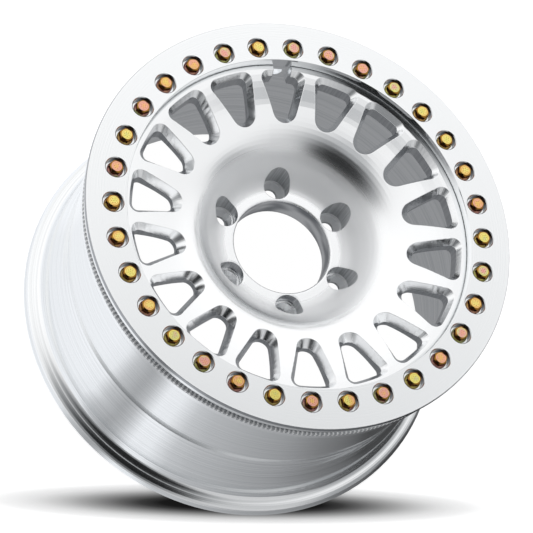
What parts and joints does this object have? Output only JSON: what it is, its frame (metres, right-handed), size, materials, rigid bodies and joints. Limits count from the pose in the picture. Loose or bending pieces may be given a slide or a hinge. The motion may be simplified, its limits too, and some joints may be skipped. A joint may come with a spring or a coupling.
{
  "type": "beadlock wheel",
  "caption": "One-piece aluminium off-road wheel with tapered windows, a deep dish and a bolted outboard ring that clamps the tyre bead.",
  "frame": {"origin": "on the wheel axis in the plane of the hub mounting face", "axes": "+Z is the wheel axis and points to the outboard face; the bolts start on +X"},
  "size_m": [0.4719, 0.472, 0.2484],
  "materials": {
    "machined_aluminium": "machined",
    "turned_ring": "turned",
    "bolt_steel": "yellow zinc plated",
    "insert_steel": "plain"
  },
  "bodies": {
    "root": {"wheel": "machined_aluminium", "beadlock_ring": "turned_ring", "ring_bolts": "bolt_steel", "thread_inserts": "insert_steel"}
  },
  "joints": []
}
